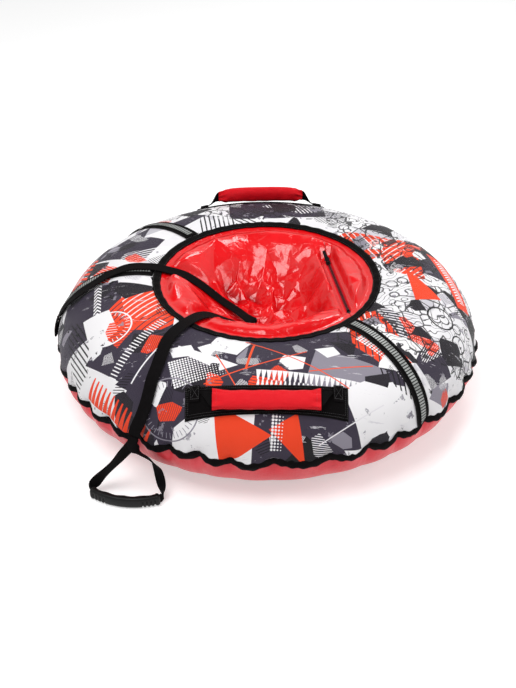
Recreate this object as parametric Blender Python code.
"""A snow tube: a rubber inner tube in a sewn cover, with a vinyl seat, a zip, two padded handles
and a tow strap. Metres, +Z up. The origin is on the ground under the middle of the tube. The front
handle is towards -Y, and the tow strap is sewn to the hem at -X."""

import bpy
import bmesh
from math import acos, asin, ceil, cos, hypot, pi, radians, sin, sqrt, tan
from mathutils import Matrix, Vector

# Inflated tube
TUBE_DIAMETER = 0.850
TUBE_WIDTH = 0.322            # across the round section
TUBE_DEPTH = 0.242            # height of the section before the floor flattens it
FLOOR_FLAT = 0.011            # how far the floor presses the section in
RUBBER_WALL = 0.0014
RUBBER_SLACK = 0.0040         # from the outside of the cover to the rubber

# Gaps between pieces
FIT_GAP = 0.0003
LAYER_GAP = 0.0009            # between layers that lie on the curved cover
SEAM_GAP = 0.0006             # between cloth edges that meet in a seam

# Sewn cover
COVER_THICKNESS = 0.0015
HEM_HEIGHT = 0.098
HEM_REACH = 0.0046            # how far the gathered hem stands out
HEM_TALL = 0.0124
HEM_WAVE_OUT = 0.0014
HEM_WAVE_UP = 0.0032
OPENING_INSET = 0.043         # from the ring's middle line in to the seam round the seat
BINDING_WIDTH = 0.016
BINDING_THICKNESS = 0.0014
BINDING_CROWN = 0.0010

# Webbing bands over the three seams, and the reflective tapes on them
BAND_WIDTH = 0.034
BAND_THICKNESS = 0.0015
TAPE_WIDTH = 0.015
TAPE_THICKNESS = 0.0008
TAPE_END_MARGIN = 0.004

# Vinyl seat
SEAT_THICKNESS = 0.0012
SEAT_FLOOR_HEIGHT = 0.136
SEAT_FOLD_HEIGHT = 0.0075

# Zip in the seat, as shares of the opening's radius
ZIP_LENGTH_SHARE = 0.923077
ZIP_OFFSET_SHARE = 0.635747   # from the middle of the seat to the zip's line
ZIP_REAR_SHARE = 0.366516     # from the foot of that offset to the zip's rear end
ZIP_RISE = 0.0030             # how far the zip lifts the seat at its ends
ZIP_WINDOW = 0.0055           # half of the slot between the seat panels
ZIP_FLAT = 0.015              # half of the flat strip round the zip
ZIP_FADE = 0.050              # over this the flat strip runs out into the seat
ZIP_CHANNEL = 0.0008          # from the zip's middle line to a coil
COIL_WIDTH = 0.0020
COIL_HEIGHT = 0.0022
ZIP_TAPE_THICKNESS = 0.0010
ZIP_TAPE_EDGE = 0.0125        # from the middle line to a tape's outer edge
STOP_LENGTH = 0.0035
SLIDER_LENGTH = 0.012
SLIDER_WIDTH = 0.0096
SLIDER_PLATE = 0.0012
SLIDER_LIP = 0.0008
SLIDER_POST_LENGTH = 0.003
SLIDER_POST_WIDTH = 0.0008
SLIDER_START = 0.0015         # from the rear stop to the slider
BRIDGE_LENGTH = 0.0060
BRIDGE_WIDTH = 0.0022
BRIDGE_EYE = 0.0018
BRIDGE_BAR = 0.0011
PULL_LENGTH = 0.032
PULL_WIDTH = 0.0075
PULL_THICKNESS = 0.0012
PULL_RIM = 0.0018
PULL_REST = radians(24.0)     # the pull leans on the seat behind the zip

# Handles
HANDLE_INSET = 0.0582         # from the hem in to the middle of the base patch
HANDLE_BASE_MARGIN = 0.0085   # from a tab to the end of the patch
HANDLE_BASE_WIDTH = 0.0462    # seen from above
HANDLE_BOW = 0.0064           # how far the ends of the patch turn back
HANDLE_BASE_THICKNESS = 0.0015
HANDLE_AXIS_INSET = 0.0095    # from the middle of the patch up to the swing line
HANDLE_AXIS_LIFT = 0.0064      # the swing line runs through the sewn ends
FRONT_GRIP_OUT = 0.0130      # from the middle of the patch out to the middle of the grip
FRONT_GRIP_HEIGHT = 0.01713   # straight up from the cover to the middle of the grip
REAR_GRIP_OUT = -0.00653
REAR_GRIP_HEIGHT = 0.02483
FRONT_END_DROP = 0.06         # how much less the ends of the grip stand out, as a share
REAR_END_DROP = 0.36
HANDLE_SPAN = 0.236           # between the two sewn ends
SLEEVE_END_GAP = 0.023        # from a sewn end to the sleeve
SLEEVE_WIDTH = 0.036
SLEEVE_DEPTH = 0.020
SLEEVE_CLOTH = 0.0012
STRAP_WIDTH = 0.025           # webbing of the handles and the tow strap
STRAP_THICKNESS = 0.0018
STRAP_END_WIDTH = 0.006
HANDLE_TAB_LENGTH = 0.018

# Valve on the inner side of the rubber
VALVE_FLANGE_RADIUS = 0.0078
VALVE_FLANGE = 0.0015
VALVE_NECK_RADIUS = 0.0048
VALVE_NECK_LENGTH = 0.016
VALVE_STEM_RADIUS = 0.0026
VALVE_STEM_BORE = 0.0015
VALVE_STEM_LENGTH = 0.030
VALVE_CORE_LENGTH = 0.012
VALVE_CORE_RADIUS = 0.0011
VALVE_CAP_RADIUS = 0.0044
VALVE_CAP_LENGTH = 0.011
VALVE_CAP_TOP = 0.0015

# Tow strap, its loop and the moulded grip
LOOP_WIDTH = 0.020
GRIP_SPAN = 0.126
GRIP_BOW = 0.0165
GRIP_HEIGHT = 0.0230
GRIP_DEPTH = 0.0160
GRIP_CORNER = 0.0055
GRIP_SCALLOP = 0.0018
GRIP_SLOT_DEPTH = 0.0030
GRIP_SLOT_HEIGHT = 0.0208
GRIP_X = -0.2575              # its middle, on a tube of ROUTE_OPENING
GRIP_Y = -0.4061

# Directions, in degrees counted from +X towards +Y
SEAM_STARTS = (-46.3, 133.5, 174.5)     # at the opening
SEAM_ENDS = (-47.8, 141.0, 182.5)       # at the hem
ZIP_AZIMUTH = radians(8.2)
ZIP_TILT = radians(19.0)
FRONT_AZIMUTH = radians(-90.0)
REAR_AZIMUTH = radians(92.2)
FRONT_LIFT = radians(-35.0)             # the front handle lies on its patch
REAR_LIFT = radians(100.0)              # the rear handle stands up
REAR_TWIST = radians(45.0)              # its webbing turns flat towards the sewn ends
GRIP_HEADING = radians(-8.6)
SEAT_LEAVES_TUBE = radians(140.0)

# Counts
AROUND = 60
RUBBER_AROUND = 36
RUBBER_SECTIONS = 14
SECTION_STEPS = 9
BAND_STEPS = 12
HEM_AROUND = 96
SIDE_STEPS = 4
ZIP_STEPS = 8

# Along a handle: shares of the sleeve's half length, and its width and depth there
GRIP_STATIONS = (0.0, 0.30, 0.50, 0.66, 0.80, 0.90, 0.96, 1.0)
SLEEVE_SHARES = ((1.0, 1.0), (0.99, 1.0), (0.97, 1.0), (0.94, 0.98), (0.92, 0.94),
                 (0.94, 0.80), (1.06, 0.58), (1.08, 0.44))
STRAP_STATIONS = (0.0, 0.30, 0.50, 0.66, 0.80, 0.90, 0.96, 1.0, 1.05, 1.10, 1.15)
FOAM_SHARE = 0.80
ROUND_SHARE = 0.96

# The route of the tow strap on a tube of ROUTE_OPENING: place, then the direction of its width
ROUTE_OPENING = 0.221
STRAP_ROUTE = (
    ((-0.4252, -0.0223, 0.1440), (0.05, -1.00, 0.0)),
    ((-0.4139, -0.0231, 0.1660), (0.06, -1.00, 0.0)),
    ((-0.3973, -0.0248, 0.1868), (0.08, -0.99, 0.02)),
    ((-0.3829, -0.0250, 0.2000), (0.14, -0.98, 0.06)),
    ((-0.3710, -0.0228, 0.2082), (0.28, -0.95, 0.12)),
    ((-0.3556, -0.0170, 0.2172), (0.45, -0.87, 0.18)),
    ((-0.3380, -0.0080, 0.2252), (0.55, -0.81, 0.18)),
    ((-0.3200, 0.0050, 0.2310), (0.51, -0.85, 0.14)),
    ((-0.3010, 0.0160, 0.2340), (0.44, -0.89, 0.09)),
    ((-0.2840, 0.0235, 0.2370), (0.31, -0.95, 0.04)),
    ((-0.2660, 0.0275, 0.2380), (0.14, -0.99, 0.00)),
    ((-0.2460, 0.0290, 0.2370), (0.06, -1.00, -0.01)),
    ((-0.2240, 0.0300, 0.2345), (0.02, -1.00, -0.03)),
    ((-0.2020, 0.0300, 0.2285), (0.05, -1.00, -0.06)),
    ((-0.1730, 0.0335, 0.2165), (0.03, -0.99, -0.11)),
    ((-0.1530, 0.0340, 0.2050), (-0.06, -0.99, -0.10)),
    ((-0.1240, 0.0340, 0.1810), (-0.23, -0.97, -0.03)),
    ((-0.0930, 0.0210, 0.1610), (-0.47, -0.87, 0.14)),
    ((-0.0630, -0.0030, 0.1535), (-0.69, -0.69, 0.21)),
    ((-0.0450, -0.0290, 0.1556), (-0.80, -0.57, 0.22)),
    ((-0.0300, -0.0483, 0.1563), (-0.86, -0.51, 0.0)),
    ((-0.0286, -0.0509, 0.1553), (-0.71, -0.58, 0.41)),
    ((-0.0285, -0.0530, 0.1530), (-0.33, -0.75, 0.58)),
    ((-0.0301, -0.0543, 0.1507), (0.05, -0.91, 0.41)),
    ((-0.0330, -0.0550, 0.1497), (0.20, -0.98, 0.0)),
    ((-0.0500, -0.0575, 0.1515), (0.02, -0.96, 0.27)),
    ((-0.0710, -0.0535, 0.1575), (-0.01, -0.96, 0.27)),
    ((-0.0880, -0.0535, 0.1650), (0.41, -0.91, 0.07)),
    ((-0.1030, -0.0660, 0.1800), (0.71, -0.68, -0.17)),
    ((-0.1150, -0.0900, 0.1980), (0.81, -0.54, -0.25)),
    ((-0.1280, -0.1200, 0.2160), (0.88, -0.45, -0.17)),
    ((-0.1420, -0.1550, 0.2305), (0.90, -0.43, -0.08)),
    ((-0.1550, -0.1800, 0.2365), (0.88, -0.48, -0.03)),
    ((-0.1720, -0.2110, 0.2385), (0.89, -0.45, 0.01)),
    ((-0.1830, -0.2360, 0.2362), (0.94, -0.33, 0.05)),
    ((-0.1900, -0.2630, 0.2295), (0.95, -0.28, 0.10)),
    ((-0.1970, -0.2890, 0.2195), (0.93, -0.35, 0.11)),
    ((-0.2050, -0.3110, 0.2065), (0.92, -0.38, 0.13)),
    ((-0.2100, -0.3290, 0.1925), (0.90, -0.42, 0.13)),
    ((-0.2155, -0.3430, 0.1765), (0.86, -0.50, 0.05)),
    ((-0.2220, -0.3530, 0.1600), (0.82, -0.56, -0.08)),
    ((-0.2305, -0.3600, 0.1410), (0.82, -0.54, -0.18)),
    ((-0.2368, -0.3650, 0.1290), (0.84, -0.54, 0.0)),
    ((-0.2390, -0.3690, 0.1190), (0.84, -0.54, 0.0)),
)
LEFT_LEG = (
    ((-0.2386, -0.3684, 0.1178), (-0.84, 0.54, 0.0)),
    ((-0.2398, -0.3706, 0.1123), (-0.84, 0.54, 0.0)),
    ((-0.2435, -0.3722, 0.1050), (-0.82, 0.52, 0.12)),
    ((-0.2515, -0.3735, 0.0942), (-0.76, 0.55, 0.25)),
    ((-0.2640, -0.3760, 0.0800), (-0.56, 0.75, 0.30)),
    ((-0.2800, -0.3768, 0.0600), (-0.28, 0.93, 0.18)),
    ((-0.2950, -0.3778, 0.0430), (-0.22, 0.92, 0.30)),
    ((-0.3070, -0.3795, 0.0300), (-0.20, 0.72, 0.66)),
    ((-0.3160, -0.3820, 0.0205), (-0.12, 0.35, 0.93)),
    ((-0.3225, -0.3855, 0.0150), (0.0, 0.0, 1.0)),
    ((-0.3246, -0.3900, 0.0120), (0.0, 0.0, 1.0)),
)
RIGHT_LEG = (
    ((-0.1895, -0.4098, 0.0120), (0.0, 0.0, 1.0)),
    ((-0.1885, -0.4050, 0.0145), (0.15, -0.10, 1.0)),
    ((-0.1900, -0.3990, 0.0190), (0.45, -0.25, 0.8)),
    ((-0.1925, -0.3930, 0.0270), (0.75, -0.30, 0.4)),
    ((-0.1950, -0.3880, 0.0400), (0.90, -0.35, 0.1)),
    ((-0.1985, -0.3870, 0.0590), (0.85, -0.50, 0.0)),
    ((-0.2040, -0.3890, 0.0740), (0.50, -0.80, 0.2)),
    ((-0.2130, -0.3900, 0.0860), (0.05, -0.85, 0.50)),
    ((-0.2255, -0.3900, 0.0960), (-0.35, -0.60, 0.60)),
    ((-0.2345, -0.3865, 0.1030), (-0.75, 0.15, 0.45)),
    ((-0.2412, -0.3800, 0.1090), (-0.84, 0.54, 0.0)),
    ((-0.2413, -0.3729, 0.1144), (-0.84, 0.54, 0.0)),
    ((-0.2399, -0.3705, 0.1189), (-0.84, 0.54, 0.0)),
)

# Worked out from the sizes above
HALF_WIDTH = TUBE_WIDTH / 2
HALF_DEPTH = TUBE_DEPTH / 2
RING_RADIUS = TUBE_DIAMETER / 2 - HALF_WIDTH
OPENING_RADIUS = RING_RADIUS - OPENING_INSET
ZIP_LENGTH = OPENING_RADIUS * ZIP_LENGTH_SHARE
ZIP_OFFSET = OPENING_RADIUS * ZIP_OFFSET_SHARE
ZIP_REAR = OPENING_RADIUS * ZIP_REAR_SHARE
HANDLE_OFFSET = TUBE_DIAMETER / 2 - HANDLE_INSET
HANDLE_BASE_LENGTH = HANDLE_SPAN + (HANDLE_TAB_LENGTH + HANDLE_BASE_MARGIN) * 2
SLEEVE_LENGTH = HANDLE_SPAN - SLEEVE_END_GAP * 2
CENTRE_HEIGHT = HALF_DEPTH - FLOOR_FLAT
HEM_SECTION = asin((HEM_HEIGHT - CENTRE_HEIGHT) / HALF_DEPTH)
FLOOR_SECTION = -asin(CENTRE_HEIGHT / HALF_DEPTH)
SEAT_RIM = OPENING_RADIUS - SEAM_GAP / 2
TAPE_LIFT = LAYER_GAP + BAND_THICKNESS + LAYER_GAP
ZIP_SINK = ZIP_TAPE_THICKNESS / 2 + FIT_GAP + SEAT_THICKNESS
COIL_EDGE = ZIP_CHANNEL + COIL_WIDTH
HANDLE_AXIS_RADIUS = HANDLE_OFFSET - HANDLE_AXIS_INSET
HANDLE_GAP = LAYER_GAP + HANDLE_BASE_THICKNESS + LAYER_GAP


def material(name, colour, roughness, metallic=0.0):
    """A plain Principled material."""
    made = bpy.data.materials.new(name)
    made.use_nodes = True
    shader = made.node_tree.nodes["Principled BSDF"]
    shader.inputs["Base Color"].default_value = (*colour, 1.0)
    shader.inputs["Roughness"].default_value = roughness
    shader.inputs["Metallic"].default_value = metallic
    made.diffuse_color = (*colour, 1.0)
    return made


def solid(name, points, faces, colour, smooth_angle=40.0):
    """A closed body from points and faces, with its faces turned outward and its edges kept."""
    mesh = bpy.data.meshes.new(name)
    mesh.from_pydata([tuple(p) for p in points], [], faces)
    body = bmesh.new()
    body.from_mesh(mesh)
    bmesh.ops.recalc_face_normals(body, faces=body.faces)
    body.to_mesh(mesh)
    body.free()
    mesh.shade_smooth()
    mesh.set_sharp_from_angle(angle=radians(smooth_angle))
    made = bpy.data.objects.new(name, mesh)
    made.data.materials.append(colour)
    bpy.context.scene.collection.objects.link(made)
    return made


def sheet(name, top, under, colour, closed=False):
    """Cloth between two grids of points with the same rows. A row of one point is a pole; closed
    joins the ends of each row."""
    points, starts = [], []
    for grid in (top, under):
        rows = []
        for row in grid:
            rows.append(len(points))
            points.extend(row)
        starts.append(rows)
    faces = []
    width = len(top[0])
    steps = width if closed else width - 1
    for rows, flip in zip(starts, (False, True)):
        for k in range(len(top) - 1):
            for j in range(steps):
                nxt = (j + 1) % width
                if len(top[k + 1]) == 1:
                    face = (rows[k] + j, rows[k] + nxt, rows[k + 1])
                else:
                    face = (rows[k] + j, rows[k] + nxt, rows[k + 1] + nxt, rows[k + 1] + j)
                faces.append(face[::-1] if flip else face)
    ends = [0] if len(top[-1]) == 1 else [0, len(top) - 1]
    for k in ends:
        for j in range(steps):
            nxt = (j + 1) % width
            faces.append((starts[0][k] + j, starts[0][k] + nxt, starts[1][k] + nxt, starts[1][k] + j))
    if not closed:
        for j in (0, width - 1):
            for k in range(len(top) - 1):
                faces.append((starts[0][k] + j, starts[0][k + 1] + j, starts[1][k + 1] + j, starts[1][k] + j))
    return solid(name, points, faces, colour)


def loft(name, rings, colour, closed=False, smooth_angle=40.0):
    """A body through rings of points; its ends are filled unless the last ring meets the first."""
    points = [p for ring in rings for p in ring]
    size = len(rings[0])
    faces = []
    for k in range(len(rings) if closed else len(rings) - 1):
        here, there = k * size, ((k + 1) % len(rings)) * size
        for j in range(size):
            nxt = (j + 1) % size
            faces.append((here + j, here + nxt, there + nxt, there + j))
    if not closed:
        last = (len(rings) - 1) * size
        faces.append(tuple(range(size)))
        faces.append(tuple(last + j for j in range(size)))
    return solid(name, points, faces, colour, smooth_angle)


def bored(name, outer, inner, colour, smooth_angle=40.0):
    """A body through outer rings with a bore through inner rings, open at both ends."""
    return loft_around(name, outer + inner[::-1], colour, smooth_angle)


def loft_around(name, rings, colour, smooth_angle):
    """A closed chain of rings: along the outside and back through the bore."""
    return loft(name, rings, colour, True, smooth_angle)


def turned(name, profile, origin, along, colour, sides=12):
    """A body of revolution. The profile is a list of (distance along, radius) on a closed outline;
    where the outline starts and ends on the axis, the body is solid there."""
    across = along.orthogonal().normalized()
    other = along.cross(across)
    rings, points, faces = [], [], []
    for distance, radius in profile:
        if radius == 0:
            rings.append([len(points)])
            points.append(origin + along * distance)
            continue
        rings.append([len(points) + j for j in range(sides)])
        for j in range(sides):
            turn = 2 * pi * j / sides
            points.append(origin + along * distance + (across * cos(turn) + other * sin(turn)) * radius)
    pairs = list(zip(rings, rings[1:]))
    if len(rings[0]) > 1:
        pairs.append((rings[-1], rings[0]))
    for here, there in pairs:
        for j in range(sides):
            nxt = (j + 1) % sides
            if len(here) == 1:
                faces.append((here[0], there[nxt], there[j]))
            elif len(there) == 1:
                faces.append((here[j], here[nxt], there[0]))
            else:
                faces.append((here[j], here[nxt], there[nxt], there[j]))
    return solid(name, points, faces, colour)


def round_box(half_width, half_depth, corner):
    """The outline of a rounded rectangle, three points to a corner."""
    outline = []
    for quarter, (side, rise) in enumerate(((1, 1), (-1, 1), (-1, -1), (1, -1))):
        for step in range(3):
            turn = pi / 2 * (quarter + step / 2)
            outline.append((side * (half_width - corner) + corner * cos(turn),
                            rise * (half_depth - corner) + corner * sin(turn)))
    return outline


def with_the_tube(place):
    """Moves a place of the route with the tube's opening: in the seat it stretches, on the ring it shifts."""
    reach = max(hypot(place[0], place[1]), ROUTE_OPENING)
    moved = 1 + (OPENING_RADIUS - ROUTE_OPENING) / reach
    return Vector((place[0] * moved, place[1] * moved, place[2]))


def moved_route(route):
    """A route of places and widths, moved with the tube's opening."""
    return [(with_the_tube(place), width) for place, width in route]


def smooth_route(route, spacing):
    """Reads a smooth curve through the chosen points: places and widths, and the length."""
    rows = [[Vector(place) for place, _ in route], [Vector(width) for _, width in route]]
    read = []
    length = 0.0
    for k in range(len(route) - 1):
        before, after = max(k - 1, 0), min(k + 2, len(route) - 1)
        count = max(1, round((rows[0][k + 1] - rows[0][k]).length / spacing))
        for step in range(count):
            t = step / count
            value = []
            for row in rows:
                a, b, c, d = row[before], row[k], row[k + 1], row[after]
                value.append((b * 2 + (c - a) * t + (a * 2 - b * 5 + c * 4 - d) * t * t
                              + (b * 3 - a - c * 3 + d) * t * t * t) / 2)
            read.append(value)
    read.append([rows[0][-1], rows[1][-1]])
    for here, there in zip(read, read[1:]):
        length += (there[0] - here[0]).length
    return read, length


def ribbon(name, path, width, thickness, colour):
    """A flat strap along a path of places and width directions."""
    rings = []
    for k, (place, side) in enumerate(path):
        ahead = path[min(k + 1, len(path) - 1)][0] - path[max(k - 1, 0)][0]
        ahead.normalize()
        across = (side - ahead * side.dot(ahead)).normalized() * width / 2
        face = ahead.cross(across).normalized() * thickness / 2
        rings.append([place + across + face, place - across + face,
                      place - across - face, place + across - face])
    return loft(name, rings, colour, smooth_angle=30.0)


def ease(share):
    """Goes smoothly from 0 to 1 as the share does."""
    share = min(max(share, 0.0), 1.0)
    return share * share * (3 - 2 * share)


def skin(section, azimuth, lift):
    """A point on the inflated cover: section 0 is the outer side, 90 degrees the top."""
    reach = RING_RADIUS + (HALF_WIDTH + lift) * cos(section)
    height = max(CENTRE_HEIGHT + (HALF_DEPTH + lift) * sin(section), -lift)
    return Vector((reach * cos(azimuth), reach * sin(azimuth), height))


def section_at(radius):
    """The section angle on the upper side of the cover at a distance from the middle."""
    return acos((radius - RING_RADIUS) / HALF_WIDTH)


def draped(x, y, lift):
    """A point on the upper side of the cover, straight above a place on the ground."""
    across = (hypot(x, y) - RING_RADIUS) / (HALF_WIDTH + lift)
    return Vector((x, y, CENTRE_HEIGHT + (HALF_DEPTH + lift) * sqrt(1 - across * across)))


def band_azimuth(seam, share):
    """The direction of a seam, from its start at the opening to its end at the hem."""
    return radians(SEAM_STARTS[seam] + (SEAM_ENDS[seam] - SEAM_STARTS[seam]) * share)


def make_inner_tube(colour):
    """The rubber ring: two nested skins joined through the valve hole."""
    turn = 2 * pi / RUBBER_AROUND
    rings = {}
    for lift in (-RUBBER_SLACK, -RUBBER_SLACK - RUBBER_WALL):
        rings[lift] = []
        for j in range(RUBBER_AROUND):
            azimuth = ZIP_AZIMUTH + turn * (j + 0.5)
            rings[lift].append([skin(pi + 2 * pi * (k + 0.5) / RUBBER_SECTIONS, azimuth, lift)
                                for k in range(RUBBER_SECTIONS)])
    outer = loft("inner_tube", rings[-RUBBER_SLACK], colour, closed=True)
    hollow = loft("rubber_hollow_cutter", rings[-RUBBER_SLACK - RUBBER_WALL], colour, closed=True)
    hole = turned("valve_hole_cutter", ((0, 0), (0, VALVE_STEM_RADIUS + FIT_GAP),
                  (VALVE_STEM_LENGTH, VALVE_STEM_RADIUS + FIT_GAP), (VALVE_STEM_LENGTH, 0)),
                  valve_origin() + valve_axis() * (VALVE_STEM_LENGTH / 2), -valve_axis(), colour)
    for cutter in (hollow, hole):
        cutter.hide_render = True
        cutter.display_type = "WIRE"
        cut = outer.modifiers.new(cutter.name, "BOOLEAN")
        cut.operation = "DIFFERENCE"
        cut.solver = "EXACT"
        cut.object = cutter
    return outer


def valve_axis():
    """The valve points from the rubber to the middle of the tube."""
    return Vector((-cos(ZIP_AZIMUTH), -sin(ZIP_AZIMUTH), 0))


def valve_origin():
    """The middle of the flat facet of rubber that carries the valve."""
    reach = RING_RADIUS - (HALF_WIDTH - RUBBER_SLACK) * cos(pi / RUBBER_SECTIONS)
    reach = reach * cos(pi / RUBBER_AROUND)
    return Vector((reach * cos(ZIP_AZIMUTH), reach * sin(ZIP_AZIMUTH), CENTRE_HEIGHT))


def make_valve(rubber, brass, plastic):
    """The valve: a rubber base on the tube, a brass stem, its core and a screwed cap."""
    origin, along = valve_origin(), valve_axis()
    bore = VALVE_STEM_RADIUS + FIT_GAP
    turned("valve_base", ((FIT_GAP, bore), (FIT_GAP, VALVE_FLANGE_RADIUS),
           (VALVE_FLANGE, VALVE_FLANGE_RADIUS), (VALVE_FLANGE + VALVE_FLANGE, VALVE_NECK_RADIUS),
           (VALVE_NECK_LENGTH, VALVE_NECK_RADIUS - VALVE_FLANGE / 2), (VALVE_NECK_LENGTH, bore)),
           origin, along, rubber)
    turned("valve_stem", ((-RUBBER_WALL, VALVE_STEM_BORE), (-RUBBER_WALL, VALVE_STEM_RADIUS),
           (VALVE_STEM_LENGTH, VALVE_STEM_RADIUS), (VALVE_STEM_LENGTH, VALVE_STEM_BORE)),
           origin, along, brass)
    core_end = VALVE_STEM_LENGTH - FIT_GAP
    turned("valve_core", ((core_end - VALVE_CORE_LENGTH, 0), (core_end - VALVE_CORE_LENGTH, VALVE_CORE_RADIUS),
           (core_end, VALVE_CORE_RADIUS), (core_end, 0)), origin, along, brass)
    mouth = VALVE_STEM_LENGTH + FIT_GAP + VALVE_CAP_TOP - VALVE_CAP_LENGTH
    closed_end = VALVE_STEM_LENGTH + FIT_GAP
    cap = turned("valve_cap", ((closed_end + VALVE_CAP_TOP, 0), (closed_end + VALVE_CAP_TOP, VALVE_CAP_RADIUS),
                 (mouth, VALVE_CAP_RADIUS), (mouth, bore), (closed_end, bore), (closed_end, 0)),
                 Vector((0, 0, 0)), along, plastic)
    cap.location = origin


def make_top_panels(colour):
    """Three printed panels between the seams, from the opening down to the hem."""
    names = ("top_panel_right", "top_panel_rear_left", "top_panel_front_left")
    first = section_at(OPENING_RADIUS + SEAM_GAP / 2)
    last = HEM_SECTION + asin(SEAM_GAP / 2 / HALF_DEPTH)
    for seam, name in enumerate(names):
        following = (seam + 1) % len(names)
        whole_turn = 2 * pi if following == 0 else 0.0
        sweep = band_azimuth(following, 0) + whole_turn - band_azimuth(seam, 0)
        steps = max(2, round(AROUND * sweep / (2 * pi)))
        grids = []
        for lift in (0.0, -COVER_THICKNESS):
            rows = []
            for k in range(SECTION_STEPS + 1):
                share = k / SECTION_STEPS
                section = first + (last - first) * share
                margin = SEAM_GAP / 2 / hypot(*skin(section, 0, 0).xy)
                start = band_azimuth(seam, share) + margin
                end = band_azimuth(following, share) + whole_turn - margin
                rows.append([skin(section, start + (end - start) * j / steps, lift)
                             for j in range(steps + 1)])
            grids.append(rows)
        sheet(name, grids[0], grids[1], colour)


def make_bottom_panel(colour):
    """The bottom: from the hem down the outer side, then flat on the ground."""
    first = HEM_SECTION - asin(SEAM_GAP / 2 / HALF_DEPTH)
    grids = []
    for lift in (0.0, -COVER_THICKNESS):
        rows = []
        for k in range(SIDE_STEPS + 1):
            section = first + (FLOOR_SECTION - first) * k / SIDE_STEPS
            rows.append([skin(section, 2 * pi * j / AROUND, lift) for j in range(AROUND)])
        rows.append([Vector((p.x / 2, p.y / 2, -lift)) for p in rows[-1]])
        rows.append([Vector((0, 0, -lift))])
        grids.append(rows)
    sheet("bottom_panel", grids[0], grids[1], colour, closed=True)


def make_hem_binding(colour):
    """The gathered binding: its inner side follows the cover, and its outer side waves."""
    inner = TUBE_DIAMETER / 2 + FIT_GAP
    rings = []
    for j in range(HEM_AROUND):
        azimuth = 2 * pi * j / HEM_AROUND
        out = HEM_REACH + HEM_WAVE_OUT / 2 * (cos(24 * azimuth) + cos(16 * azimuth))
        up = HEM_WAVE_UP / 2 * (cos(20 * azimuth) - cos(12 * azimuth))
        ring = []
        for reach_share, height_share in ((0, -0.36), (0.55, -0.5), (1, -0.22), (1, 0.22), (0.55, 0.5), (0, 0.36)):
            reach = inner + out * reach_share
            height = HEM_HEIGHT + up * reach_share + HEM_TALL * height_share
            ring.append(Vector((reach * cos(azimuth), reach * sin(azimuth), height)))
        rings.append(ring)
    loft("hem_binding", rings, colour, closed=True)


def make_opening_binding(colour):
    """The folded tape over the seam round the opening."""
    outline = []
    for radius_share, rise in ((0.5, 0), (-0.5, 0), (-0.5, BINDING_THICKNESS),
                               (0, BINDING_THICKNESS + BINDING_CROWN), (0.5, BINDING_THICKNESS)):
        outline.append((OPENING_RADIUS + BINDING_WIDTH * radius_share, LAYER_GAP + rise))
    rings = []
    for j in range(AROUND):
        azimuth = 2 * pi * j / AROUND
        rings.append([skin(section_at(radius), azimuth, lift) for radius, lift in outline])
    loft("opening_binding", rings, colour, closed=True)


def make_seam_bands(webbing, reflective):
    """A webbing band over each seam, with a narrow reflective tape along its middle."""
    names = ("front_right", "rear_left", "left")
    binding_edge = OPENING_RADIUS + BINDING_WIDTH / 2 + FIT_GAP
    seam_start, seam_end = section_at(OPENING_RADIUS), HEM_SECTION
    hem_top = HEM_HEIGHT + HEM_WAVE_UP + HEM_TALL / 2 + FIT_GAP
    for seam, name in enumerate(names):
        for kind, width, low, thickness, margin, colour in (
                ("band", BAND_WIDTH, LAYER_GAP, BAND_THICKNESS, 0.0, webbing),
                ("tape", TAPE_WIDTH, TAPE_LIFT, TAPE_THICKNESS, TAPE_END_MARGIN, reflective)):
            first = section_at(binding_edge + margin)
            last = asin((hem_top + margin - CENTRE_HEIGHT) / HALF_DEPTH)
            grids = []
            for lift in (low + thickness, low):
                rows = []
                for k in range(BAND_STEPS + 1):
                    section = first + (last - first) * k / BAND_STEPS
                    middle = band_azimuth(seam, (section - seam_start) / (seam_end - seam_start))
                    half_turn = width / 2 / hypot(*skin(section, 0, 0).xy)
                    rows.append([skin(section, middle + half_turn * side, lift) for side in (-1, 0, 1)])
                grids.append(rows)
            sheet(name + "_" + kind, grids[0], grids[1], colour)


def seat_base(radius):
    """The seat's height where nothing lifts it: along the tube, then a hanging bowl."""
    leaves = RING_RADIUS + HALF_WIDTH * cos(SEAT_LEAVES_TUBE)
    if radius >= leaves:
        return CENTRE_HEIGHT + HALF_DEPTH * sin(section_at(radius))
    top = CENTRE_HEIGHT + HALF_DEPTH * sin(SEAT_LEAVES_TUBE)
    slope = -HALF_DEPTH / HALF_WIDTH / tan(SEAT_LEAVES_TUBE)
    power = slope * leaves / (top - SEAT_FLOOR_HEIGHT)
    return SEAT_FLOOR_HEIGHT + (top - SEAT_FLOOR_HEIGHT) * (radius / leaves) ** power


def zip_place(out, along):
    """A place in the seat seen from above: out from the middle, and along the zip's line."""
    return (out * cos(ZIP_AZIMUTH) - along * sin(ZIP_AZIMUTH),
            out * sin(ZIP_AZIMUTH) + along * cos(ZIP_AZIMUTH))


def zip_ends():
    """The two ends of the zip's line, on the top of the seat."""
    ends = []
    for along in (ZIP_REAR, ZIP_REAR - ZIP_LENGTH):
        x, y = zip_place(ZIP_OFFSET, along)
        ends.append(Vector((x, y, seat_base(hypot(x, y)) + ZIP_RISE)))
    return ends


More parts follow.
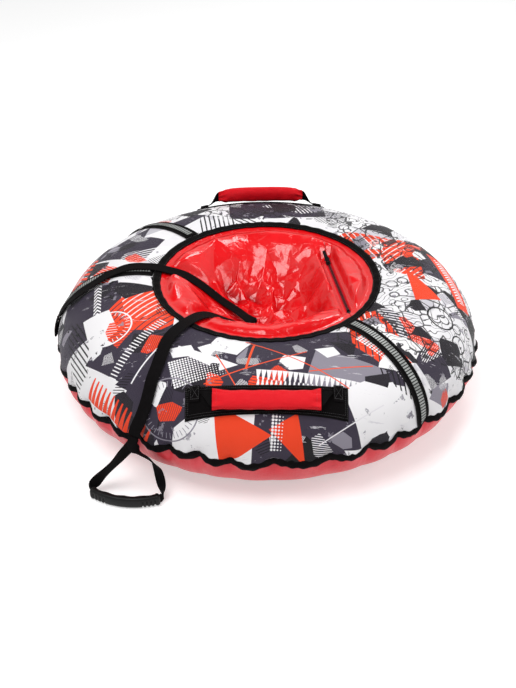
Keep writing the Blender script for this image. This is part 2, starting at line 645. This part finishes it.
def seat_height(x, y):
    """The top of the seat above a place, with the flat strip that the zip holds straight."""
    base = seat_base(hypot(x, y))
    out = x * cos(ZIP_AZIMUTH) + y * sin(ZIP_AZIMUTH)
    along = y * cos(ZIP_AZIMUTH) - x * sin(ZIP_AZIMUTH)
    rear, front = zip_ends()
    line = rear.z + (front.z - rear.z) * (ZIP_REAR - along) / ZIP_LENGTH
    flat = line + (out - ZIP_OFFSET) * tan(ZIP_TILT)
    past_end = max(along - ZIP_REAR, ZIP_REAR - ZIP_LENGTH - along, 0.0)
    to_rim = sqrt(max(SEAT_RIM ** 2 - along ** 2, 0.0)) - BINDING_WIDTH - ZIP_OFFSET - ZIP_FLAT
    fade = ZIP_FADE if out < ZIP_OFFSET else max(to_rim, ZIP_WINDOW)
    held = 1 - ease((abs(out - ZIP_OFFSET) - ZIP_FLAT) / fade)
    held = held * (1 - ease((past_end - ZIP_WINDOW) / ZIP_FADE))
    return base + max(flat - base, 0.0) * held


def seat_fold(x, y, azimuth_share, radius_share):
    """The main folds of the slack vinyl, which only ever lift it."""
    ring = ease((0.66 - radius_share) / 0.20) * ease(radius_share / 0.22)
    turn = 2 * pi * azimuth_share
    away_from_strap = ease((abs(azimuth_share - 0.5) - 0.17) / 0.10)
    wave = 0.5 + 0.28 * cos(7 * turn + 0.6) + 0.22 * cos(5 * turn - 1.1 + 6 * radius_share)
    return SEAT_FOLD_HEIGHT * ring * wave * away_from_strap


def seat_point(x, y, fold, depth):
    """A point on the seat, moved in by a depth square to its surface."""
    step = SEAT_THICKNESS
    height = seat_height(x, y) + fold
    slope_x = (seat_height(x + step, y) - seat_height(x - step, y)) / (2 * step)
    slope_y = (seat_height(x, y + step) - seat_height(x, y - step)) / (2 * step)
    normal = Vector((-slope_x, -slope_y, 1)).normalized()
    return Vector((x, y, height)) - normal * depth


def seam_half_gap(along):
    """Half of the slot between the seat panels: wide along the zip, and a seam past its ends."""
    past_end = max(along - ZIP_REAR, ZIP_REAR - ZIP_LENGTH - along, 0.0)
    return SEAM_GAP / 2 + (ZIP_WINDOW - SEAM_GAP / 2) * (1 - ease((past_end - STOP_LENGTH * 2) / ZIP_FLAT))


def chord_stations(half_chord):
    """Where the seat panels have points along the zip's line, from its front end to its rear."""
    opened = STOP_LENGTH * 2
    closed = opened + ZIP_FLAT
    stations = [-half_chord, (ZIP_REAR - ZIP_LENGTH - closed - half_chord) / 2, ZIP_REAR - ZIP_LENGTH - closed]
    for k in range(ZIP_STEPS + 1):
        stations.append(ZIP_REAR - ZIP_LENGTH - opened + (ZIP_LENGTH + opened * 2) * k / ZIP_STEPS)
    stations += [ZIP_REAR + closed, (ZIP_REAR + closed + half_chord) / 2, half_chord]
    return stations


def make_seat_panel(colour):
    """The main seat panel: round at the rim, straight along the zip, folded in the middle."""
    half_chord = sqrt(SEAT_RIM ** 2 - ZIP_OFFSET ** 2)
    corner = acos(ZIP_OFFSET / SEAT_RIM)
    edge = []
    for along in chord_stations(half_chord):
        out = ZIP_OFFSET - seam_half_gap(along)
        edge.append(Vector(zip_place(out, along)))
    rim_steps = 36
    for k in range(1, rim_steps):
        azimuth = ZIP_AZIMUTH + corner + (2 * pi - 2 * corner) * k / rim_steps
        edge.append(Vector((cos(azimuth), sin(azimuth))) * SEAT_RIM)
    ring_shares = (1.0, 0.906, 0.815, 0.725, 0.64, 0.53, 0.41, 0.28, 0.14)
    grids = []
    for depth in (0.0, SEAT_THICKNESS):
        rows = []
        for share in ring_shares:
            row = []
            for place in edge:
                turn = Vector((1, 0)).angle_signed(place) / (-2 * pi) % 1.0
                x, y = place * share
                row.append(seat_point(x, y, seat_fold(x, y, turn, share), depth))
            rows.append(row)
        rows.append([seat_point(0, 0, 0, depth)])
        grids.append(rows)
    sheet("seat_panel", grids[0], grids[1], colour, closed=True)


def make_seat_side_panel(colour):
    """The smaller seat panel, between the zip and the rim."""
    half_chord = sqrt((SEAT_RIM - SEAM_GAP) ** 2 - ZIP_OFFSET ** 2) * 0.97
    grids = []
    for depth in (0.0, SEAT_THICKNESS):
        columns = []
        for along in chord_stations(half_chord):
            near = ZIP_OFFSET + seam_half_gap(along)
            far = sqrt((SEAT_RIM - SEAM_GAP) ** 2 - along ** 2)
            strip = min(ZIP_FLAT - ZIP_WINDOW, (far - near) * 0.3)
            column = []
            for share in (None, 0.0, 0.33, 0.66, 1.0):
                out = near if share is None else near + strip + (far - near - strip) * share
                x, y = zip_place(out, along)
                column.append(seat_point(x, y, 0.0, depth))
            columns.append(column)
        grids.append(columns)
    sheet("seat_side_panel", grids[0], grids[1], colour)


def zip_frame():
    """The zip's own axes: along it, across it towards the rim, and up out of the seat."""
    rear, front = zip_ends()
    along = (front - rear).normalized()
    rise = Vector((cos(ZIP_AZIMUTH), sin(ZIP_AZIMUTH), tan(ZIP_TILT)))
    up = along.cross(rise).normalized()
    across = up.cross(along)
    origin = rear - up * ZIP_SINK
    return origin, along, across, up, (front - rear).length


def zip_box(name, start, end, near, far, low, high, colour):
    """A straight bar in the zip's axes."""
    origin, along, across, up, _ = zip_frame()
    rings = []
    for run in (start, end):
        ring = []
        for side, rise in ((near, low), (far, low), (far, high), (near, high)):
            ring.append(origin + along * run + across * side + up * rise)
        rings.append(ring)
    return loft(name, rings, colour)


def zip_blocks(name, bars, colour):
    """One body from bars in the zip's axes that overlap: the faces between filled and empty cells."""
    origin, along, across, up, _ = zip_frame()
    lines = [sorted({round(bar[k + end], 7) for bar in bars for end in (0, 1)}) for k in (0, 2, 4)]
    filled = set()
    for i in range(len(lines[0]) - 1):
        for j in range(len(lines[1]) - 1):
            for k in range(len(lines[2]) - 1):
                middle = [(row[n] + row[n + 1]) / 2 for row, n in zip(lines, (i, j, k))]
                if any(all(bar[2 * n] < middle[n] < bar[2 * n + 1] for n in range(3)) for bar in bars):
                    filled.add((i, j, k))
    places, points, faces = {}, [], []
    for cell in sorted(filled):
        for axis in range(3):
            first, second = (axis + 1) % 3, (axis + 2) % 3
            for step in (0, 1):
                beside = list(cell)
                beside[axis] += 2 * step - 1
                if tuple(beside) in filled:
                    continue
                face = []
                for a, b in ((0, 0), (1, 0), (1, 1), (0, 1)):
                    corner = list(cell)
                    corner[axis] += step
                    corner[first] += a
                    corner[second] += b
                    if tuple(corner) not in places:
                        places[tuple(corner)] = len(points)
                        run, side, rise = (row[n] for row, n in zip(lines, corner))
                        points.append(origin + along * run + across * side + up * rise)
                    face.append(places[tuple(corner)])
                faces.append(tuple(face))
    return solid(name, points, faces, colour)


def make_zip(tape, coil, metal):
    """The zip: tapes, coils, end stops, and the slider with its swinging pull."""
    origin, along, across, up, length = zip_frame()
    half_tape = ZIP_TAPE_THICKNESS / 2
    half_coil = COIL_HEIGHT / 2
    for name, side in (("inner", -1), ("outer", 1)):
        edges = sorted((side * (COIL_EDGE + FIT_GAP), side * ZIP_TAPE_EDGE))
        zip_box("zip_tape_" + name, -STOP_LENGTH * 2, length + STOP_LENGTH * 2, edges[0], edges[1],
                -half_tape, half_tape, tape)
        edges = sorted((side * ZIP_CHANNEL, side * COIL_EDGE))
        zip_box("zip_coil_" + name, 0, length, edges[0], edges[1], -half_coil, half_coil, coil)
    zip_box("zip_rear_stop", -FIT_GAP - STOP_LENGTH, -FIT_GAP, -COIL_EDGE, COIL_EDGE,
            -half_coil, half_coil, metal)
    zip_box("zip_front_stop", length + FIT_GAP, length + FIT_GAP + STOP_LENGTH, -COIL_EDGE, COIL_EDGE,
            -half_coil, half_coil, metal)
    make_slider(metal)
    make_pull(metal)


def make_slider(metal):
    """Two plates joined by a post at the rear, lips over the tapes, and a bridge for the pull."""
    near = COIL_HEIGHT / 2 + FIT_GAP
    lip = ZIP_TAPE_THICKNESS / 2 + FIT_GAP
    half = SLIDER_WIDTH / 2
    start, end = SLIDER_START, SLIDER_START + SLIDER_LENGTH
    bars = []
    for side in (1, -1):
        flat = sorted((side * near, side * (near + SLIDER_PLATE)))
        bars.append((start, end, -half, half, flat[0], flat[1]))
        edge = sorted((side * lip, side * (near + SLIDER_PLATE / 2)))
        for hand in (1, -1):
            sides = sorted((hand * half, hand * (half - SLIDER_LIP)))
            bars.append((start, end, sides[0], sides[1], edge[0], edge[1]))
    post = SLIDER_POST_WIDTH / 2
    bars.append((start, start + SLIDER_POST_LENGTH, -post, post, -near - SLIDER_PLATE / 2, near + SLIDER_PLATE / 2))
    top = near + SLIDER_PLATE
    low = top - SLIDER_PLATE / 2
    middle = start + SLIDER_LENGTH / 2
    reach = BRIDGE_LENGTH / 2
    width = BRIDGE_WIDTH / 2
    for hand in (1, -1):
        feet = sorted((middle + hand * reach, middle + hand * (reach - BRIDGE_BAR)))
        bars.append((feet[0], feet[1], -width, width, low, top + BRIDGE_EYE + BRIDGE_BAR / 2))
    bars.append((middle - reach, middle + reach, -width, width, top + BRIDGE_EYE, top + BRIDGE_EYE + BRIDGE_BAR))
    zip_blocks("zip_slider", bars, metal)


def pull_axis():
    """Where the pull swings: the middle of the bridge's eye."""
    origin, along, across, up, _ = zip_frame()
    rise = COIL_HEIGHT / 2 + FIT_GAP + SLIDER_PLATE + BRIDGE_EYE / 2
    return origin + along * (SLIDER_START + SLIDER_LENGTH / 2) + up * rise


def make_pull(metal):
    """The pull: a flat tab with a window, whose end bar runs through the bridge."""
    origin, along, across, up, _ = zip_frame()
    hub = pull_axis()
    half = PULL_WIDTH / 2
    bar = PULL_THICKNESS / 2
    window = BRIDGE_LENGTH / 2 + BRIDGE_BAR
    back_way = up * sin(PULL_REST) - along * cos(PULL_REST)
    thick_way = across.cross(back_way)
    outline = ((-bar, half), (PULL_LENGTH, half * 0.8), (PULL_LENGTH, -half * 0.8), (-bar, -half))
    opening = ((bar, half - PULL_RIM), (window, half - PULL_RIM), (window, PULL_RIM - half), (bar, PULL_RIM - half))
    points, faces = [], []
    for rise in (bar, -bar):
        for loop in (outline, opening):
            for back, side in loop:
                points.append(across * side + back_way * back + thick_way * rise)
    for k in range(4):
        nxt = (k + 1) % 4
        faces.append((k, nxt, 4 + nxt, 4 + k))
        faces.append((8 + nxt, 8 + k, 12 + k, 12 + nxt))
        faces.append((nxt, k, 8 + k, 8 + nxt))
        faces.append((4 + k, 4 + nxt, 12 + nxt, 12 + k))
    pull = solid("zip_pull", points, faces, metal)
    pull.location = hub


def handle_ways(azimuth):
    """Out from the middle of the tube to a handle, and along the handle to its right end."""
    facing = 1.0 if azimuth > 0 else -1.0
    out = Vector((cos(azimuth), sin(azimuth), 0))
    return out, Vector((sin(azimuth), -cos(azimuth), 0)) * facing


def handle_place(azimuth, x, offset, lift):
    """A point of a handle's patch: x along it, offset out from the middle of the tube."""
    out, along = handle_ways(azimuth)
    place = out * (offset - HANDLE_BOW * (x / (HANDLE_BASE_LENGTH / 2)) ** 2) + along * x
    return draped(place.x, place.y, lift)


def handle_axis(azimuth):
    """The middle of the line on which a handle swings, between its two sewn ends."""
    end = handle_place(azimuth, HANDLE_SPAN / 2, HANDLE_AXIS_RADIUS, HANDLE_AXIS_LIFT)
    return end - handle_ways(azimuth)[1] * (HANDLE_SPAN / 2)


def grip_ways(azimuth, lift_angle):
    """The axes of a grip: along it, out from its swing line, and square to both."""
    out, along = handle_ways(azimuth)
    if azimuth < 0:
        along = -along
    out = out * cos(lift_angle) + Vector((0, 0, sin(lift_angle)))
    return along, out, along.cross(out)


def mirrored(stations):
    """Stations from one end to the other, from those between the middle and one end."""
    return [-station for station in stations[:0:-1]] + list(stations)


def handle_shape(azimuth, lift_angle, grip_out, grip_height, end_drop):
    """How far the middle of a grip stands out from its swing line, and square to that."""
    grip = handle_place(azimuth, 0.0, HANDLE_OFFSET + grip_out, 0.0) + Vector((0, 0, grip_height))
    away = grip - handle_axis(azimuth)
    _, out, square = grip_ways(azimuth, lift_angle)
    return away.dot(out), away.dot(square), end_drop


def grip_line(share, shape):
    """Where the middle of a handle's webbing is, out from the swing line and square to that."""
    stand, rise, end_drop = shape
    past = (abs(share) - 1.0) / (HANDLE_SPAN / SLEEVE_LENGTH - 1.0)
    kept = 1 - ease(past)
    return stand * (1 - end_drop * min(abs(share), 1.0) ** 4) * kept, rise * kept


def grip_ring(share, shape, outline, turn=0.0, trim=0.0):
    """An outline set square to a handle at a share of its half length, turned about the middle."""
    stand, rise = grip_line(share, shape)
    x = share * SLEEVE_LENGTH / 2
    x -= trim * (1 if x > 0 else -1)
    return [Vector((x, stand + a * cos(turn) - b * sin(turn), rise + a * sin(turn) + b * cos(turn)))
            for a, b in outline]


def make_handle(name, azimuth, lift_angle, shape, twist, cloth, webbing, foam, vinyl):
    """A handle: its sewn patch and tabs, and the swinging strap, foam and sleeve."""
    half_base = HANDLE_BASE_LENGTH / 2
    grids = []
    for lift in (LAYER_GAP + HANDLE_BASE_THICKNESS, LAYER_GAP):
        rows = []
        for k in range(13):
            x = half_base * (k / 6 - 1)
            rows.append([handle_place(azimuth, x, HANDLE_OFFSET + HANDLE_BASE_WIDTH * (j / 4 - 0.5), lift)
                         for j in range(5)])
        grids.append(rows)
    sheet(name + "_base", grids[0], grids[1], cloth)

    for hand, side in (("left", -1), ("right", 1)):
        grids = []
        for lift in (HANDLE_GAP + STRAP_THICKNESS * 2, HANDLE_GAP):
            rows = []
            for k in range(3):
                x = side * (HANDLE_SPAN / 2 + FIT_GAP + HANDLE_TAB_LENGTH * k / 2)
                rows.append([handle_place(azimuth, x, HANDLE_AXIS_RADIUS + STRAP_WIDTH * (j / 2 - 0.5), lift)
                             for j in range(3)])
            grids.append(rows)
        sheet(name + "_tab_" + hand, grids[0], grids[1], webbing)

    swing = bpy.data.objects.new(name + "_axis", None)
    bpy.context.scene.collection.objects.link(swing)
    swing.location = handle_axis(azimuth)
    swing.rotation_euler = Matrix(grip_ways(azimuth, lift_angle)).transposed().to_euler()

    half = STRAP_THICKNESS / 2
    last = HANDLE_SPAN / SLEEVE_LENGTH
    rings = []
    for share in mirrored(STRAP_STATIONS + (last,)):
        past = ease((abs(share) - 1.0) / (last - 1.0))
        reach = (STRAP_WIDTH + (STRAP_END_WIDTH - STRAP_WIDTH) * past) / 2
        outline = ((-reach, -half), (reach, -half), (reach, half), (-reach, half))
        rings.append(grip_ring(share, shape, outline, twist * past))
    loft(name + "_strap", rings, webbing).parent = swing

    outer, bore = [], []
    for share in mirrored(GRIP_STATIONS):
        width_share, depth_share = SLEEVE_SHARES[GRIP_STATIONS.index(abs(share))]
        half_width = SLEEVE_WIDTH / 2 * width_share
        half_depth = SLEEVE_DEPTH / 2 * depth_share
        outer.append(grip_ring(share, shape, round_box(half_width, half_depth, half_depth * ROUND_SHARE)))
        at_foam = abs(share) <= FOAM_SHARE
        bore_width = half_width - SLEEVE_CLOTH if at_foam else STRAP_WIDTH / 2 + LAYER_GAP
        bore_depth = half_depth - SLEEVE_CLOTH if at_foam else half + LAYER_GAP
        bore.append(grip_ring(share, shape, round_box(bore_width, bore_depth, bore_depth * ROUND_SHARE)))
    bored(name + "_sleeve", outer, bore, vinyl).parent = swing

    outer, bore = [], []
    for share in mirrored([station for station in GRIP_STATIONS if station <= FOAM_SHARE]):
        width_share, depth_share = SLEEVE_SHARES[GRIP_STATIONS.index(abs(share))]
        trim = LAYER_GAP if abs(share) == FOAM_SHARE else 0.0
        half_width = SLEEVE_WIDTH / 2 * width_share - SLEEVE_CLOTH - FIT_GAP
        half_depth = SLEEVE_DEPTH / 2 * depth_share - SLEEVE_CLOTH - FIT_GAP
        outer.append(grip_ring(share, shape, round_box(half_width, half_depth, half_depth * ROUND_SHARE), trim=trim))
        slot = half + FIT_GAP
        bore.append(grip_ring(share, shape, round_box(STRAP_WIDTH / 2 + LAYER_GAP, slot, slot / 2), trim=trim))
    bored(name + "_foam", outer, bore, foam).parent = swing


def grip_arc(share):
    """A point on the middle line of the tow grip and the direction along it, at a share from end to end."""
    radius = GRIP_SPAN ** 2 / (8 * GRIP_BOW) + GRIP_BOW / 2
    half_turn = asin(GRIP_SPAN / 2 / radius)
    turn = half_turn * (2 * share - 1)
    ahead = Vector((cos(GRIP_HEADING), sin(GRIP_HEADING), 0))
    bow = Vector((sin(GRIP_HEADING), -cos(GRIP_HEADING), 0))
    middle = with_the_tube((GRIP_X, GRIP_Y, GRIP_HEIGHT / 2))
    place = middle + ahead * radius * sin(turn) + bow * radius * (cos(turn) - cos(half_turn))
    heading = ahead * cos(turn) - bow * sin(turn)
    return place, heading


def make_tow_grip(plastic):
    """The moulded grip: a bowed bar with finger hollows on its inner side and a slot for the webbing."""
    outer, slot = [], []
    steps = 16
    fingers = 4
    for k in range(steps + 1):
        share = k / steps
        place, heading = grip_arc(share)
        out = heading.cross(Vector((0, 0, 1)))
        hollow = GRIP_SCALLOP * (0.5 - 0.5 * cos(2 * pi * fingers * share)) if 0 < k < steps else 0.0
        ring = []
        for a, b in round_box(GRIP_DEPTH / 2, GRIP_HEIGHT / 2, GRIP_CORNER):
            reach = a + hollow if a < 0 else a
            ring.append(place + out * reach + Vector((0, 0, b)))
        outer.append(ring)
        slot.append([place + out * a + Vector((0, 0, b))
                     for a, b in round_box(GRIP_SLOT_DEPTH / 2, GRIP_SLOT_HEIGHT / 2, GRIP_SLOT_DEPTH / 5)])
    bored("tow_grip", outer, slot, plastic)


def make_tow_strap(webbing, plastic):
    """The tow strap from its anchor on the hem to the hand loop that runs through the grip."""
    path, length = smooth_route(moved_route(STRAP_ROUTE), STRAP_WIDTH * 0.60)
    ribbon("tow_strap", path, STRAP_WIDTH, STRAP_THICKNESS, webbing)
    through = [(grip_arc(k / 12)[0], Vector((0, 0, 1))) for k in range(13)]
    loop_route = moved_route(LEFT_LEG) + through + moved_route(RIGHT_LEG)
    loop_path, loop_length = smooth_route(loop_route, LOOP_WIDTH * 0.60)
    ribbon("tow_loop", loop_path, LOOP_WIDTH, STRAP_THICKNESS, webbing)
    make_tow_grip(plastic)
    print("tow strap", round(length, 3), "loop", round(loop_length, 3),
          "points", len(path), len(loop_path))

    start, width = path[0]
    azimuth = band_azimuth(2, 1.0) + radians(0.5)
    low = TAPE_LIFT + TAPE_THICKNESS + LAYER_GAP
    first = asin((HEM_HEIGHT + HEM_WAVE_UP + HEM_TALL / 2 + FIT_GAP - CENTRE_HEIGHT) / HALF_DEPTH)
    last = asin((start.z - LAYER_GAP - CENTRE_HEIGHT) / (HALF_DEPTH + low + STRAP_THICKNESS * 2))
    grids = []
    for lift in (low + STRAP_THICKNESS * 2, low):
        rows = []
        for k in range(4):
            section = first + (last - first) * k / 3
            half_turn = STRAP_WIDTH / 2 / hypot(*skin(section, 0, 0).xy)
            rows.append([skin(section, azimuth + half_turn * side, lift) for side in (-1, 0, 1)])
        grids.append(rows)
    sheet("tow_anchor", grids[0], grids[1], webbing)


def main():
    for old in list(bpy.data.objects):
        bpy.data.objects.remove(old, do_unlink=True)
    printed = material("printed_cloth", (0.75, 0.73, 0.76), 0.55)
    coated = material("coated_cloth", (0.66, 0.06, 0.07), 0.45)
    vinyl = material("seat_vinyl", (0.80, 0.02, 0.03), 0.18)
    black_tape = material("binding_tape", (0.012, 0.012, 0.013), 0.75)
    webbing = material("webbing", (0.014, 0.014, 0.015), 0.70)
    reflective = material("reflective_tape", (0.45, 0.46, 0.46), 0.35)
    patch = material("handle_patch", (0.012, 0.012, 0.013), 0.80)
    sleeve = material("handle_sleeve", (0.80, 0.02, 0.04), 0.45)
    foam = material("foam", (0.55, 0.55, 0.52), 0.95)
    rubber = material("rubber", (0.02, 0.02, 0.02), 0.60)
    brass = material("brass", (0.70, 0.55, 0.25), 0.30, 1.0)
    plastic = material("black_plastic", (0.02, 0.02, 0.021), 0.38)
    zip_tape = material("zip_tape", (0.45, 0.01, 0.02), 0.75)
    coil = material("zip_coil", (0.05, 0.02, 0.02), 0.45)
    metal = material("zip_metal", (0.03, 0.03, 0.03), 0.35, 1.0)

    make_inner_tube(rubber)
    make_valve(rubber, brass, plastic)
    make_top_panels(printed)
    make_bottom_panel(coated)
    make_hem_binding(black_tape)
    make_opening_binding(black_tape)
    make_seam_bands(webbing, reflective)
    make_seat_panel(vinyl)
    make_seat_side_panel(vinyl)
    make_zip(zip_tape, coil, metal)
    front = handle_shape(FRONT_AZIMUTH, FRONT_LIFT, FRONT_GRIP_OUT, FRONT_GRIP_HEIGHT, FRONT_END_DROP)
    rear = handle_shape(REAR_AZIMUTH, REAR_LIFT, REAR_GRIP_OUT, REAR_GRIP_HEIGHT, REAR_END_DROP)
    make_handle("front_handle", FRONT_AZIMUTH, FRONT_LIFT, front, 0.0, patch, webbing, foam, sleeve)
    make_handle("rear_handle", REAR_AZIMUTH, REAR_LIFT, rear, REAR_TWIST, patch, webbing, foam, sleeve)
    make_tow_strap(webbing, plastic)


main()
